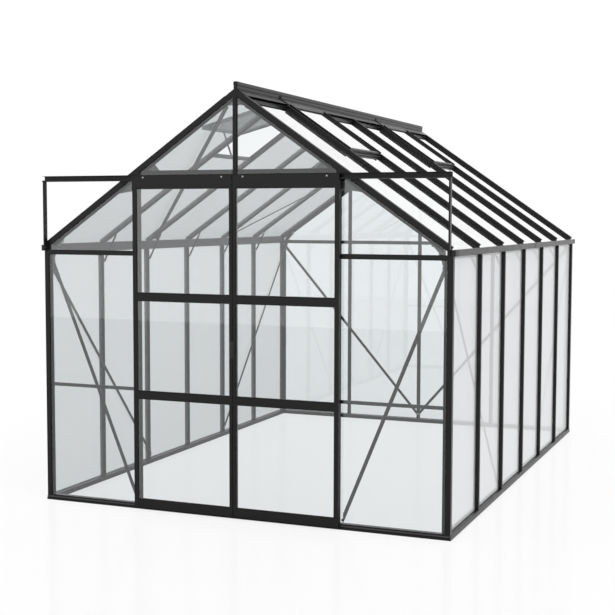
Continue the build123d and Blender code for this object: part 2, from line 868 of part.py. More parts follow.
# Sliding doors: the right one is drawn, and the left one is its mirror image with a handle
door_back = head_depth + running_gap
door_front = door_back + door_depth
door_near = meeting_gap / 2
door_far = post_outside + door_lap
pane_low = door_near + meeting_stile
pane_high = door_far - outer_stile
door_top = rail_bottom - door_top_gap
header_bottom = rail_bottom - header_drop
door_rails = [
    (door_bottom, door_bottom + door_foot_height),
    (lower_rail_bottom, lower_rail_bottom + door_rail_height),
    (upper_rail_bottom, upper_rail_bottom + door_rail_height),
    (header_bottom, door_top),
]
roller_places = (door_near + roller_inner_inset, door_far - roller_outer_inset)
axle_height = rib_top + roller_radius + roller_clearance
roller_back = rail_front - rib_width - roller_side_gap - roller_flange_width
roller_front = rail_front + roller_side_gap + roller_flange_width

with BuildPart() as right_door_stiles:
    with BuildSketch(front_plane(door_back)):
        draw_box((door_near, door_bottom), (pane_low, door_top))
        draw_box((pane_high, door_bottom), (door_far, door_top))
    extrude(amount=door_depth)

with BuildPart() as right_door_rails:
    with BuildSketch(front_plane(door_back + (door_depth - door_rail_depth) / 2)):
        for low, high in door_rails:
            draw_box((pane_low, low), (pane_high, high))
    extrude(amount=door_rail_depth)

with BuildPart() as right_door_header:
    with BuildSketch(front_plane(door_front)):
        draw_box((door_near, header_bottom), (door_far, header_bottom + header_height))
    extrude(amount=header_thickness)

with BuildPart() as right_door_glass:
    with BuildSketch(front_plane(door_front - door_glass_set - glass_thickness)):
        for lower, upper in zip(door_rails, door_rails[1:]):
            draw_box((pane_low, lower[1]), (pane_high, upper[0]))
    extrude(amount=glass_thickness)

with BuildPart() as right_door_rollers:
    for place in roller_places:
        for ahead, radius, width in (
            (roller_back, roller_radius, roller_front - roller_back),
            (roller_back, roller_radius + roller_flange, roller_flange_width),
            (roller_front - roller_flange_width, roller_radius + roller_flange, roller_flange_width),
            (roller_front, axle_radius, door_front - roller_front),
        ):
            with BuildSketch(front_plane(ahead)):
                with Locations((place, axle_height)):
                    Circle(radius)
            extrude(amount=width)

for name, right_piece in (
    ("stiles", right_door_stiles),
    ("rails", right_door_rails),
    ("header", right_door_header),
    ("glass", right_door_glass),
    ("rollers", right_door_rollers),
):
    keep(right_piece, f"right_door_{name}")
    with BuildPart() as left_piece:
        mirror(right_piece.part, about=Plane.YZ)
    keep(left_piece, f"left_door_{name}")

seat_high = -door_near - handle_inset
seat_low = seat_high - handle_seat
grip_back = -front_line - door_front - running_gap
grip_front = -front_line - door_front - handle_reach
with BuildPart() as left_door_handle:
    with BuildSketch(Plane.XY.offset(handle_bottom)):
        Polygon(
            (seat_low, -front_line - door_front),
            (seat_high, -front_line - door_front),
            (seat_high, grip_back),
            (handle_overlap, grip_back),
            (handle_overlap, grip_front),
            (seat_low + handle_chamfer, grip_front),
            (seat_low, grip_front + handle_chamfer),
            align=None,
        )
    extrude(amount=handle_height)
keep(left_door_handle, "left_door_handle")
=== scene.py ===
"""Dresses the glass greenhouse around the fixed frame of its parts: finishes, seals, cappings, fastenings."""

import json
from math import cos, pi, radians, sin, tan

import bpy
import numpy as np
from mathutils import Matrix, Vector


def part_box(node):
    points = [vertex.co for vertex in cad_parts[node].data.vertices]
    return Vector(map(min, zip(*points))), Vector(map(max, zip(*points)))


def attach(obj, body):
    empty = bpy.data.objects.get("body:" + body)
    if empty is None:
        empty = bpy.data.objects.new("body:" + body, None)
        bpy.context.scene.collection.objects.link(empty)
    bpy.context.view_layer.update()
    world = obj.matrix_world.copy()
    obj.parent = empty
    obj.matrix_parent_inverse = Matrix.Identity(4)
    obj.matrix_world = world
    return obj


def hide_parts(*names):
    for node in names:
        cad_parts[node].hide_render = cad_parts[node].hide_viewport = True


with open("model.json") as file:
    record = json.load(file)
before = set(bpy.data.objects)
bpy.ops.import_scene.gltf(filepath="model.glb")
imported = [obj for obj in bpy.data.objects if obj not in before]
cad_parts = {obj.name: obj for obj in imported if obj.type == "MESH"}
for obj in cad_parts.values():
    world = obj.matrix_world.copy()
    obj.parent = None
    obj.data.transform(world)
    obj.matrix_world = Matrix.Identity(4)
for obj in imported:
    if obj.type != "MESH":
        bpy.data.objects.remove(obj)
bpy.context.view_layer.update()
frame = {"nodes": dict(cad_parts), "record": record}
scene = bpy.context.scene
scene.view_settings.view_transform = "Standard"

# Camera at the photograph's angle
EYE = Vector((3.0806, -8.3361, 1.7988))
EYE_YAW = radians(22.03)
EYE_PITCH = radians(-4.246)
EYE_ROLL = radians(0.147)
SENSOR_WIDTH = 36.0
FOCAL_PIXELS = 1214.57
IMAGE_PIXELS = 615

# Stage
FLOOR_FRONT = -13.9
FLOOR_REACH = 60.0
FLOOR_SIDE = 1.33
FLOOR_WHITE_SHARE = 0.8
FLOOR_MIRROR_SHARE = 0.2
SIDE_FLOOR_MIRROR_SHARE = 1.0
FLOOR_GREY = (0.55, 0.55, 0.55, 1.0)
FLOOR_GLOSS_SHARE = 0.04
FLOOR_GLOSS_ROUGHNESS = 0.12
WHITE = (1.0, 1.0, 1.0, 1.0)
DAYLIGHT = 0.8
SUN_STRENGTH = 0.77
SUN_SPREAD = radians(50.0)
SUN_FROM = Vector((0.45, -0.5, 1.0))

# Roof slopes: where the two glazing lines meet, and their fall
ROOF_PITCH = radians(34.7)
WALL_LINE = 1.300
EAVES_LINE = 1.619
APEX = np.array((0.0, 0.0, EAVES_LINE + WALL_LINE * tan(ROOF_PITCH)))
HOUSE_MIDDLE = np.array((0.0, 0.02, 1.2))
FORE = np.array((0.0, -1.0, 0.0))
UP = np.array((0.0, 0.0, 1.0))

# Corners this near to a face lie in it, points this near to each other are one, an axis that rises this much
# is steep, and edges that turn by less than this angle are shaded soft
IN_FACE = 1e-4
SAME_PLACE = 1e-7
STEEP = 0.9
SOFT_ANGLE = radians(35.0)

# Snap-on cappings of the bars
CAPPING_WALL = 0.001
CAPPING_RISE = 0.0022
CAPPING_GRIP = 0.007
CAPPING_SHOULDER = 0.0022
CAPPING_GROOVE = 0.0035
CAPPING_GROOVE_DEPTH = 0.0016
CAPPING_GROOVE_EASE = 0.0004
CAPPING_RIDGE_GAP = 0.004

# Ridge. Each row of its section is a place and a rounding: on the neck, past the web's face and above the
# bulb's foot; at the root, past the web's face and above the wing's root; on the wing, past its edge and out
# of the slope
WING_LENGTH = 0.058
WING_TOP = 0.027
WING_UNDER = 0.024
WING_BEAD = 0.0018
WEB_HALF = 0.011
WEB_EASE = 0.003
WEB_FOOT_BAND = 0.01
BULB_HALF = 0.0145
BULB_HEIGHT = 0.024
BULB_EASE = 0.009
NECK_SWELL = 0.002
NECK_ROWS = ((BULB_HALF - WEB_HALF, 0.001, 0.003), (0.0, -0.0005, 0.0), (0.0, -0.0032, 0.0),
             (NECK_SWELL, -0.0042, 0.0008))
ROOT_ROWS = ((NECK_SWELL, 0.004, 0.001), (0.0, 0.003, 0.0), (0.0, 0.0, 0.0))
WING_ROWS = ((-0.005, WING_TOP, 0.0), (-0.0035, WING_TOP + WING_BEAD, 0.0012),
             (0.001, WING_TOP + WING_BEAD, 0.0016), (0.001, WING_UNDER, 0.001))

# Soft sleeves over the ridge's joints, in rows like the ridge's own
RIDGE_JOINTS = (-1.22, 0.64)
JOINT_LENGTH = 0.042
JOINT_WALL = 0.0015
JOINT_NECK_ROWS = ((0.0, -0.003, 0.0), (NECK_SWELL + JOINT_WALL, -0.0045, 0.001))
JOINT_ROOT_ROWS = ((NECK_SWELL + JOINT_WALL, 0.002, 0.001),)
JOINT_WING_ROWS = ((JOINT_WALL, WING_TOP + WING_BEAD + JOINT_WALL, 0.0015), (JOINT_WALL, WING_UNDER, 0.0),
                   (-0.004, WING_UNDER, 0.0))
JOINT_INSIDE = 0.001

# Vents and the covers over their hinges
HINGE_COVER_START = -0.001
HINGE_COVER_SEAT = 0.0002
HINGE_COVER_WALL = 0.0016
HINGE_COVER_EASE = 0.0006
HINGE_COVER_LAP = 0.005
HINGE_COVER_OPEN_LAP = 0.002
HINGE_COVER_SIDE = 0.02
VENT_RAIL = 0.020
VENT_PANE_GAP = 0.0004
VENT_CAPPING_BASE = 0.0038
VENT_CAPPING_RISE = 0.004
VENT_CAPPING_EASE = 0.0015
VENT_FLANGE_WIDTH = 0.009
VENT_FLANGE_RISE = 0.012
VENT_FLANGE_EASE = 0.0025
PEG_COUNT = 6
PEG_SPREAD = 0.8
PEG_SIDES = 10
PEG_ROWS = ((0.0032, 0.0), (0.0032, 0.0025), (0.0022, 0.0034))

# Seals and beads, as sections that run inwards from a pane's edge and out of its face
SEAL_GAP = 0.0018
SEAL_WEDGE = ((-SEAL_GAP, -0.003), (-0.0001, -0.003), (-0.0001, 0.0002), (0.0025, 0.0002), (0.0014, 0.0028),
              (-SEAL_GAP, 0.0036))
OUTER_BEAD = ((0.0, 0.0001), (0.0035, 0.0001), (0.00245, 0.0024), (0.0, 0.0034))
INNER_BEAD = ((0.0, -0.0041), (0.0056, -0.0041), (0.00455, -0.0090), (0.0, -0.0110))
SILL_LIP = 0.003
SILL_BEAD_DEPTH = 0.0042
SILL_BEAD_HEIGHT = 0.0085
SILL_BEAD_PLACE = 0.0205
SILL_BEAD_STEPS = 7

# Gutter lips and the sleeve over each gutter's joint
LIP_RADIUS = 0.0028
LIP_INSET = 0.0015
LIP_DROP = 0.001
LIP_SIDES = 12
SLEEVE_PLACE = 0.33
SLEEVE_LENGTH = 0.070
SLEEVE_WALL = 0.0014
SLEEVE_GAP = 0.0001
SLEEVE_RISE = 0.003
SLEEVE_BACK = 0.013

# Fastenings and the flanges of the front roof braces
BOLT_RADIUS = 0.0055
BOLT_HEIGHT = 0.0042
BOLT_RIM = 0.0008
WASHER_RADIUS = 0.0085
WASHER_HEIGHT = 0.0012
WASHER_SIDES = 12
STRAP_BOLT_INSET = 0.016
PLATE_BOLT_SHARE = 0.72
BRACE_FLANGE_DEPTH = 0.024
BRACE_FLANGE_WALL = 0.003
BRACE_FLANGE_INSET = 0.035
BRACE_FLANGE_EASE = 0.001

# Door fittings: an axle head's rows of share of its radius and height, a roller's rows of drop below its rim
# and place along its axle, and the handle's rows of share of its width, share of its height, and reach
AXLE_HEAD_RADIUS = 0.0058
AXLE_HEAD_SIDES = 16
AXLE_HEAD_ROWS = ((1.0, 0.0), (0.96, 0.0012), (0.7, 0.0024), (0.3, 0.0030))
ROLLER_BORE = 0.004
ROLLER_HUB = 0.0048
ROLLER_HUB_START = 0.0086
ROLLER_SIDES = 40
ROLLER_ROWS = (
    (0.0028, 0.0), (0.0018, 0.0008), (0.0018, 0.0056), (0.0, 0.0062), (0.0, 0.0078), (0.0038, 0.0082))
HANDLE_SIDES = 48
HANDLE_WIDTH_POWER = 0.3
HANDLE_HEIGHT_POWER = 0.22
HANDLE_ROWS = np.array((
    (1.0, 1.0, 0.0), (1.0, 1.0, 0.0026), (0.95, 0.985, 0.0038), (0.66, 0.88, 0.0044),
    (0.60, 0.86, 0.0062), (0.54, 0.83, 0.0118), (0.47, 0.81, 0.0136), (0.34, 0.74, 0.0140)))

# Finishes of frame, plastic, rubber and beads: two near tones, gloss, and the grain of the peel. The beads'
# pale grey is a painted highlight, the light caught by the sills' ledge
COATS = {
    "frame": dict(
        name="black_powder_coat", dark=(0.0055, 0.0055, 0.0058), light=(0.0085, 0.0085, 0.0088),
        specular=0.3, roughness=(0.26, 0.38), peel_scale=900.0, peel_depth=0.00025),
    "plastic": dict(
        name="moulded_black_plastic", dark=(0.013, 0.013, 0.0135), light=(0.019, 0.019, 0.0195),
        specular=0.35, roughness=(0.42, 0.56), peel_scale=500.0, peel_depth=0.0004),
    "grip": dict(
        name="warm_grip_plastic", dark=(0.021, 0.0195, 0.02), light=(0.028, 0.0262, 0.0268),
        specular=0.35, roughness=(0.42, 0.56), peel_scale=500.0, peel_depth=0.0004),
    "rubber": dict(
        name="black_rubber", dark=(0.006, 0.006, 0.006), light=(0.010, 0.010, 0.010),
        specular=0.2, roughness=(0.62, 0.8), peel_scale=700.0, peel_depth=0.0003),
    # Pale grey of the sill beads: a painted highlight, the light caught by the sills' ledge, not a colour of
    # the bead
    "bead": dict(
        name="painted_highlight_bead", dark=(0.045, 0.045, 0.046), light=(0.06, 0.06, 0.061),
        specular=0.4, roughness=(0.3, 0.42), peel_scale=900.0, peel_depth=0.0002),
}
PEEL_DETAIL = 2.0
PEEL_STRENGTH = 0.25
ZINC_COLOUR = (0.42, 0.42, 0.43, 1.0)
ZINC_ROUGHNESS = (0.25, 0.5)

# Noise patterns: scale and detail
PATCH_NOISE = (3.5, 4.0)
SMEAR_NOISE = (14.0, 3.0)
ZINC_NOISE = (260.0, 3.0)

# Glass: what each face mirrors and loses. The slant is 0 where a face is looked at squarely, and 1 along it
GLASS_TINT = (0.955, 0.966, 0.97)
MIRROR_TINT = (0.985, 0.99, 0.995, 1.0)
PLAIN_MIRROR = 0.09
COAT_MIRROR = 0.91
COAT_POWER = 2.2
INNER_MIRROR = 0.4
INNER_POWER = 5.0
SLANT_LOSS = 0.17
SLANT_LOSS_POWER = 1.2
ROOF_HAZE = dict(outer_haze=0.0, inner_haze=0.35, power=3.0, full_slant=0.87)
PANES = {
    "glass": dict(name="clear_gable_glass", outer_haze=0.0, inner_haze=0.0),
    "wall_glass": dict(name="hazed_wall_glass", outer_haze=0.55, inner_haze=0.4),
    "roof_glass": dict(name="clear_roof_glass", **ROOF_HAZE),
    "vent_glass": dict(name="slant_dark_vent_glass", **ROOF_HAZE, loss=1.0, loss_power=3.5),
}
PANE_NODES = {"side_wall_glass": "wall_glass", "roof_glass": "roof_glass", "vent_glass": "vent_glass"}


def new_material(name):
    """Returns an empty node material with its output, its nodes and a function that links two sockets."""
    material = bpy.data.materials.new(name)
    material.use_nodes = True
    nodes = material.node_tree.nodes
    nodes.clear()
    output = nodes.new("ShaderNodeOutputMaterial")
    return material, output, nodes, material.node_tree.links.new


def add_math(nodes, link, operation, first, second):
    """Adds a math node on two sockets or numbers and returns its result."""
    node = nodes.new("ShaderNodeMath")
    node.operation = operation
    for socket, value in zip(node.inputs, (first, second)):
        if isinstance(value, (int, float)):
            socket.default_value = value
        else:
            link(value, socket)
    return node.outputs["Value"]


def add_noise(nodes, link, scale, detail):
    """Adds a noise pattern on Object coordinates and returns its value."""
    place = nodes.new("ShaderNodeTexCoord")
    noise = nodes.new("ShaderNodeTexNoise")
    noise.inputs["Scale"].default_value = scale
    noise.inputs["Detail"].default_value = detail
    link(place.outputs["Object"], noise.inputs["Vector"])
    return noise.outputs["Fac"]


def add_range(nodes, link, pattern, low, high):
    """Spreads a pattern's 0 to 1 over low to high, as pattern * (high - low) + low, and returns it."""
    spread = add_math(nodes, link, "MULTIPLY", pattern, high - low)
    return add_math(nodes, link, "ADD", spread, low)


def add_blend(nodes, link, share, first, second):
    """Adds a blend of two shaders, with a share of the second, and returns its result."""
    blend = nodes.new("ShaderNodeMixShader")
    link(share, blend.inputs["Fac"])
    link(first, blend.inputs[1])
    link(second, blend.inputs[2])
    return blend.outputs["Shader"]


def make_coat(name, dark, light, specular, roughness, peel_scale, peel_depth):
    """A dark finish: fine peel in the bump, faint smears in the gloss, a slow drift between two tones."""
    material, output, nodes, link = new_material(name)
    shader = nodes.new("ShaderNodeBsdfPrincipled")
    shader.inputs["Specular IOR Level"].default_value = specular
    tone = nodes.new("ShaderNodeMix")
    tone.data_type = "RGBA"
    link(add_noise(nodes, link, *PATCH_NOISE), tone.inputs["Factor"])
    tone.inputs["A"].default_value = (*dark, 1.0)
    tone.inputs["B"].default_value = (*light, 1.0)
    link(tone.outputs["Result"], shader.inputs["Base Color"])
    smears = add_noise(nodes, link, *SMEAR_NOISE)
    link(add_range(nodes, link, smears, *roughness), shader.inputs["Roughness"])
    peel = nodes.new("ShaderNodeBump")
    peel.inputs["Strength"].default_value = PEEL_STRENGTH
    peel.inputs["Distance"].default_value = peel_depth
    link(add_noise(nodes, link, peel_scale, PEEL_DETAIL), peel.inputs["Height"])
    link(peel.outputs["Normal"], shader.inputs["Normal"])
    link(shader.outputs["BSDF"], output.inputs["Surface"])
    return material


def make_zinc():
    """Plated steel of screws and bolts: bright, a little dull, with a fine mottle."""
    material, output, nodes, link = new_material("plated_steel")
    shader = nodes.new("ShaderNodeBsdfPrincipled")
    shader.inputs["Base Color"].default_value = ZINC_COLOUR
    shader.inputs["Metallic"].default_value = 1.0
    mottle = add_noise(nodes, link, *ZINC_NOISE)
    link(add_range(nodes, link, mottle, *ZINC_ROUGHNESS), shader.inputs["Roughness"])
    link(shader.outputs["BSDF"], output.inputs["Surface"])
    return material


def make_glass(name, outer_haze, inner_haze, power=COAT_POWER, full_slant=1.0, loss=SLANT_LOSS,
               loss_power=SLANT_LOSS_POWER):
    """Clear glass: each face mirrors more the flatter it is looked at, and tints what is behind it, more on a
    slant. The outer face is coated, so it mirrors more than the inner one, by (slant / full slant) to a
    power; it is the face whose normal points away from the house's middle and is met from its front. Haze
    blurs what each face mirrors."""
    material, output, nodes, link = new_material(name)
    place = nodes.new("ShaderNodeTexCoord")
    away = nodes.new("ShaderNodeVectorMath")
    away.operation = "SUBTRACT"
    link(place.outputs["Object"], away.inputs[0])
    away.inputs[1].default_value = HOUSE_MIDDLE
    side = nodes.new("ShaderNodeNewGeometry")
    facing = nodes.new("ShaderNodeVectorMath")
    facing.operation = "DOT_PRODUCT"
    link(away.outputs["Vector"], facing.inputs[0])
    link(side.outputs["Normal"], facing.inputs[1])
    outward = add_math(nodes, link, "GREATER_THAN", facing.outputs["Value"], 0.0)
    coated = add_math(nodes, link, "SUBTRACT", outward, side.outputs["Backfacing"])
    coated = add_math(nodes, link, "GREATER_THAN", coated, 0.5)

    layer = nodes.new("ShaderNodeLayerWeight")
    layer.inputs["Blend"].default_value = 0.5
    slant = layer.outputs["Facing"]
    flatness = add_math(nodes, link, "DIVIDE", slant, full_slant)
    flatness = add_math(nodes, link, "POWER", add_math(nodes, link, "MINIMUM", flatness, 1.0), power)
    strong = add_math(nodes, link, "MULTIPLY", flatness, COAT_MIRROR)
    weak = add_math(nodes, link, "POWER", slant, INNER_POWER)
    weak = add_math(nodes, link, "MULTIPLY", weak, INNER_MIRROR)
    spread = nodes.new("ShaderNodeMix")
    link(coated, spread.inputs["Factor"])
    link(weak, spread.inputs["A"])
    link(strong, spread.inputs["B"])
    share = add_math(nodes, link, "ADD", spread.outputs["Result"], PLAIN_MIRROR)

    clear = nodes.new("ShaderNodeBsdfTransparent")
    lost = add_math(nodes, link, "MULTIPLY", add_math(nodes, link, "POWER", slant, loss_power), loss)
    tint = nodes.new("ShaderNodeVectorMath")
    tint.operation = "SCALE"
    tint.inputs[0].default_value = GLASS_TINT
    link(add_math(nodes, link, "SUBTRACT", 1.0, lost), tint.inputs["Scale"])
    link(tint.outputs["Vector"], clear.inputs["Color"])

    mirror = nodes.new("ShaderNodeBsdfPrincipled")
    mirror.inputs["Base Color"].default_value = MIRROR_TINT
    mirror.inputs["Metallic"].default_value = 1.0
    mirror.inputs["Roughness"].default_value = inner_haze
    if outer_haze != inner_haze:
        haze = nodes.new("ShaderNodeMix")
        link(coated, haze.inputs["Factor"])
        haze.inputs["A"].default_value = inner_haze
        haze.inputs["B"].default_value = outer_haze
        link(haze.outputs["Result"], mirror.inputs["Roughness"])
    pane = add_blend(nodes, link, share, clear.outputs["BSDF"], mirror.outputs["BSDF"])
    link(pane, output.inputs["Surface"])
    return material


def make_floor(name, mirror_share):
    """Pale floor: plain grey that keeps shadows, with white light mixed in where it is seen as a background,
    and a faint gloss."""
    material, output, nodes, link = new_material(name)
    path = nodes.new("ShaderNodeLightPath")
    direct = path.outputs["Is Camera Ray"]
    seen = add_math(nodes, link, "MAXIMUM", direct, path.outputs["Is Transmission Ray"])
    mirrored = add_math(nodes, link, "MULTIPLY", path.outputs["Is Glossy Ray"], mirror_share)
    share = add_math(nodes, link, "MULTIPLY", seen, FLOOR_WHITE_SHARE)
    share = add_math(nodes, link, "MAXIMUM", share, mirrored)
    polish = add_math(nodes, link, "MULTIPLY", direct, FLOOR_GLOSS_SHARE)
    pale = nodes.new("ShaderNodeBsdfDiffuse")
    pale.inputs["Color"].default_value = WHITE
    grey = nodes.new("ShaderNodeBsdfDiffuse")
    grey.inputs["Color"].default_value = FLOOR_GREY
    white = nodes.new("ShaderNodeEmission")
    gloss = nodes.new("ShaderNodeBsdfGlossy")
    gloss.inputs["Color"].default_value = WHITE
    gloss.inputs["Roughness"].default_value = FLOOR_GLOSS_ROUGHNESS
    ground = add_blend(nodes, link, seen, grey.outputs["BSDF"], pale.outputs["BSDF"])
    ground = add_blend(nodes, link, share, ground, white.outputs["Emission"])
    ground = add_blend(nodes, link, polish, ground, gloss.outputs["BSDF"])
    link(ground, output.inputs["Surface"])
    return material


def make_stage():
    """Sets the floor, the white surround, one soft lamp and the camera."""
    across = (-FLOOR_REACH, FLOOR_SIDE, FLOOR_REACH)
    corners = [(x, y, 0.0) for y in (FLOOR_FRONT, FLOOR_REACH) for x in across]
    mesh = bpy.data.meshes.new("floor")
    mesh.from_pydata(corners, [], [(0, 1, 4, 3), (1, 2, 5, 4)])
    floor = bpy.data.objects.new("floor", mesh)
    scene.collection.objects.link(floor)
    mesh.materials.append(make_floor("pale_floor", FLOOR_MIRROR_SHARE))
    mesh.materials.append(make_floor("white_side_floor", SIDE_FLOOR_MIRROR_SHARE))
    mesh.polygons[1].material_index = 1

    world = bpy.data.worlds.new("white_surround")
    scene.world = world
    world.use_nodes = True
    nodes = world.node_tree.nodes
    link = world.node_tree.links.new
    path = nodes.new("ShaderNodeLightPath")
    seen = add_math(nodes, link, "MAXIMUM", path.outputs["Is Camera Ray"], path.outputs["Is Glossy Ray"])
    seen = add_math(nodes, link, "MAXIMUM", seen, path.outputs["Is Transmission Ray"])
    background = nodes["Background"]
    background.inputs["Color"].default_value = WHITE
    link(add_range(nodes, link, seen, DAYLIGHT, 1.0), background.inputs["Strength"])

    lamp = bpy.data.lights.new("soft_sun", "SUN")
    lamp.energy = SUN_STRENGTH
    lamp.angle = SUN_SPREAD
    sun = bpy.data.objects.new("soft_sun", lamp)
    sun.rotation_euler = (-SUN_FROM).to_track_quat("-Z", "Y").to_euler()
    scene.collection.objects.link(sun)

    camera = bpy.data.cameras.new("camera")
    camera.sensor_width = SENSOR_WIDTH
    camera.lens = SENSOR_WIDTH * FOCAL_PIXELS / IMAGE_PIXELS
    eye = bpy.data.objects.new("camera", camera)
    turn = Matrix.Rotation(EYE_YAW, 4, "Z") @ Matrix.Rotation(pi / 2 + EYE_PITCH, 4, "X")
    eye.matrix_world = Matrix.Translation(EYE) @ turn @ Matrix.Rotation(EYE_ROLL, 4, "Z")
    scene.collection.objects.link(eye)
    scene.camera = eye


def node_points(node):
    """Returns the corners of a part's mesh."""
    mesh = frame["nodes"][node].data
    corners = np.empty(len(mesh.vertices) * 3, np.float32)
    mesh.vertices.foreach_get("co", corners)
    return corners.reshape(-1, 3).astype(float)


def node_solids(node):
    """Splits a part into its solids: equal corners are merged, then the lowest corner number spreads along
    the edges until it stands still. Returns the corners of each solid."""
    mesh = frame["nodes"][node].data
    edges = np.empty(len(mesh.edges) * 2, np.int32)
    mesh.edges.foreach_get("vertices", edges)
    corners, number = np.unique(np.round(node_points(node), 5), axis=0, return_inverse=True)
    ends = number.reshape(-1)[edges.reshape(-1, 2)]
    label = np.arange(len(corners))
    while True:
        lowest = label.copy()
        np.minimum.at(lowest, ends[:, 0], label[ends[:, 1]])
        np.minimum.at(lowest, ends[:, 1], label[ends[:, 0]])
        lowest = lowest[lowest]
        if np.array_equal(lowest, label):
            break
        label = lowest
    return [corners[label == name] for name in np.unique(label)]


def unit(rows):
    """Scales each row to length one."""
    return rows / np.linalg.norm(rows, axis=-1, keepdims=True)


def as_rows(*values):
    """Makes arrays of rows of numbers or lists, with as many rows each."""
    return np.broadcast_arrays(*(np.atleast_2d(np.asarray(value, float)) for value in values))


def signed_area(profile):
    """Twice the area of a closed outline, positive where it turns to the left."""
    a, b = profile[:, 0], profile[:, 1]
    return np.sum(a * np.roll(b, -1) - np.roll(a, -1) * b)


def ease_corners(corners, cut, steps=4):
    """Rounds a closed outline: each corner becomes the quadratic curve (1-t)^2 A + 2t(1-t) P + t^2 B between
    the points A and B that lie its cut before and after it. A cut of zero keeps the corner."""
    corners = np.asarray(corners, float)
    cut = np.broadcast_to(np.asarray(cut, float), len(corners))[:, None]
    before = corners + unit(np.roll(corners, 1, 0) - corners) * cut
    after = corners + unit(np.roll(corners, -1, 0) - corners) * cut
    t = np.linspace(0.0, 1.0, steps + 1)[:, None]
    curve = (1 - t) ** 2 * before[:, None] + 2 * t * (1 - t) * corners[:, None] + t ** 2 * after[:, None]
    curve = curve.reshape(-1, corners.shape[1])
    apart = np.linalg.norm(curve - np.roll(curve, 1, 0), axis=1) > SAME_PLACE
    return curve[apart]


def box_section(left, right, low, high, ease):
    """Outline of an upright rectangle whose two upper corners are rounded."""
    return ease_corners([(left, low), (right, low), (right, high), (left, high)], (0.0, 0.0, ease, ease))


def mirror_section(rows):
    """Closed outline of rows of place and rounding and of their mirror image, which runs back."""
    rows = np.array(rows)
    back = rows[::-1] * (-1.0, 1.0, 1.0)
    both = np.concatenate((rows, back))
    return ease_corners(both[:, :2], both[:, 2])


def sweep(profile, starts, ends, across, out):
    """Carries a closed profile along straight lines: its corner (a, b) lies at the line's point plus a times
    across plus b times out. Both ends are closed, and the faces of each line are turned outwards."""
    profile = np.asarray(profile, float)
    starts, ends, across, out = as_rows(starts, ends, across, out)
    lines, sides = len(starts), len(profile)
    offset = profile[None, :, :1] * across[:, None] + profile[None, :, 1:] * out[:, None]
    points = np.stack((starts[:, None] + offset, ends[:, None] + offset), 1).reshape(-1, 3)
    here = np.arange(sides)
    after = np.roll(here, -1)
    walls = np.stack((here, after, after + sides, here + sides), 1)
    lids = np.stack((here[::-1], here + sides))
    first = (np.arange(lines) * 2 * sides)[:, None, None]
    hand = np.sum(np.cross(across, out) * (ends - starts), axis=1) * signed_area(profile)
    turned = (hand < 0)[:, None, None]
    walls, lids = (np.where(turned, (first + faces)[:, :, ::-1], first + faces) for faces in (walls, lids))
    return points, [walls.reshape(-1, 4), lids.reshape(-1, sides)]


def ring_faces(rows, count):
    """Faces of rings of equal count, one after another: walls of quads, and lids on the first and last."""
    row, here = np.meshgrid(np.arange(rows - 1), np.arange(count), indexing="ij")
    after = (here + 1) % count
    low, high = row * count, (row + 1) * count
    walls = np.stack((low + here, low + after, high + after, high + here), -1)
    lids = np.stack((np.arange(count)[::-1], (rows - 1) * count + np.arange(count)))
    return walls.reshape(-1, 4), lids


def turn_shape(profile, centres, axes, count):
    """Turns rows of (radius, height) about axes: each row is a ring of corners at centre + height * axis +
    radius * (cos, sin) of equal angles, and the first and last rings are closed by flat faces."""
    profile = np.asarray(profile, float)
    centres, axes = as_rows(centres, axes)
    axes = unit(axes)
    helper = np.where(np.abs(axes[:, 2:]) < STEEP, UP, FORE)
    first = unit(np.cross(helper, axes))
    second = np.cross(axes, first)
    angle = np.arange(count) * 2 * pi / count
    ring = np.cos(angle)[None, :, None] * first[:, None] + np.sin(angle)[None, :, None] * second[:, None]
    points = (centres[:, None, None] + profile[None, :, None, 1:] * axes[:, None, None]
              + profile[None, :, None, :1] * ring[:, None]).reshape(-1, 3)
    walls, lids = ring_faces(len(profile), count)
    base = (np.arange(len(centres)) * len(profile) * count)[:, None, None]
    return points, [(base + walls).reshape(-1, 4), (base + lids).reshape(-1, count)]


def loop_frame(profile, corners, normal):
    """Carries a closed profile (a, b) round a flat convex outline with mitred corners: a runs inwards from
    the outline, shared between the two edges as a (n1 + n2) / (1 + n1 . n2), and b runs along the normal."""
    profile = np.asarray(profile, float)
    edge = unit(np.roll(corners, -1, 0) - corners)
    inward = np.cross(normal, edge)
    earlier = np.roll(inward, 1, 0)
    mitre = (inward + earlier) / (1 + np.sum(inward * earlier, axis=1, keepdims=True))
    points = corners[:, None] + profile[None, :, :1] * mitre[:, None] + profile[None, :, 1:] * normal
    count, sides = len(corners), len(profile)
    corner, here = np.meshgrid(np.arange(count), np.arange(sides), indexing="ij")
    ahead, after = (corner + 1) % count * sides, (here + 1) % sides
    faces = np.stack((corner * sides + here, corner * sides + after, ahead + after, ahead + here), -1)
    if signed_area(profile) > 0:
        faces = faces[:, :, ::-1]
    return points.reshape(-1, 3), [faces.reshape(-1, 4)]


def join_shapes(shapes):
    """Puts shapes into one: the faces of each count on from the points before it."""
    firsts = np.cumsum([0] + [len(points) for points, faces in shapes])
    points = np.concatenate([points for points, faces in shapes])
    return points, [block + first for (_, faces), first in zip(shapes, firsts) for block in faces]


def add_piece(name, shape, finish, body="house", stands_for=()):
    """Makes a mesh of a shape, with soft shading up to an angle, and hangs it on its body."""
    points, blocks = shape
    mesh = bpy.data.meshes.new(name)
    mesh.from_pydata(points, [], [face for block in blocks for face in block.tolist()])
    mesh.polygons.foreach_set("use_smooth", np.ones(len(mesh.polygons), bool))
    mesh.set_sharp_from_angle(angle=SOFT_ANGLE)
    mesh.materials.append(finishes[finish])
    piece = bpy.data.objects.new(name, mesh)
    scene.collection.objects.link(piece)
    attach(piece, body)
    if stands_for:
        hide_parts(*stands_for)


def slope_axes(side):
    """Directions down and out of the roof slope on one side, 1 for the right and -1 for the left."""
    run, fall = cos(ROOF_PITCH), sin(ROOF_PITCH)
    return np.array((side * run, 0.0, -fall)), np.array((side * fall, 0.0, run))


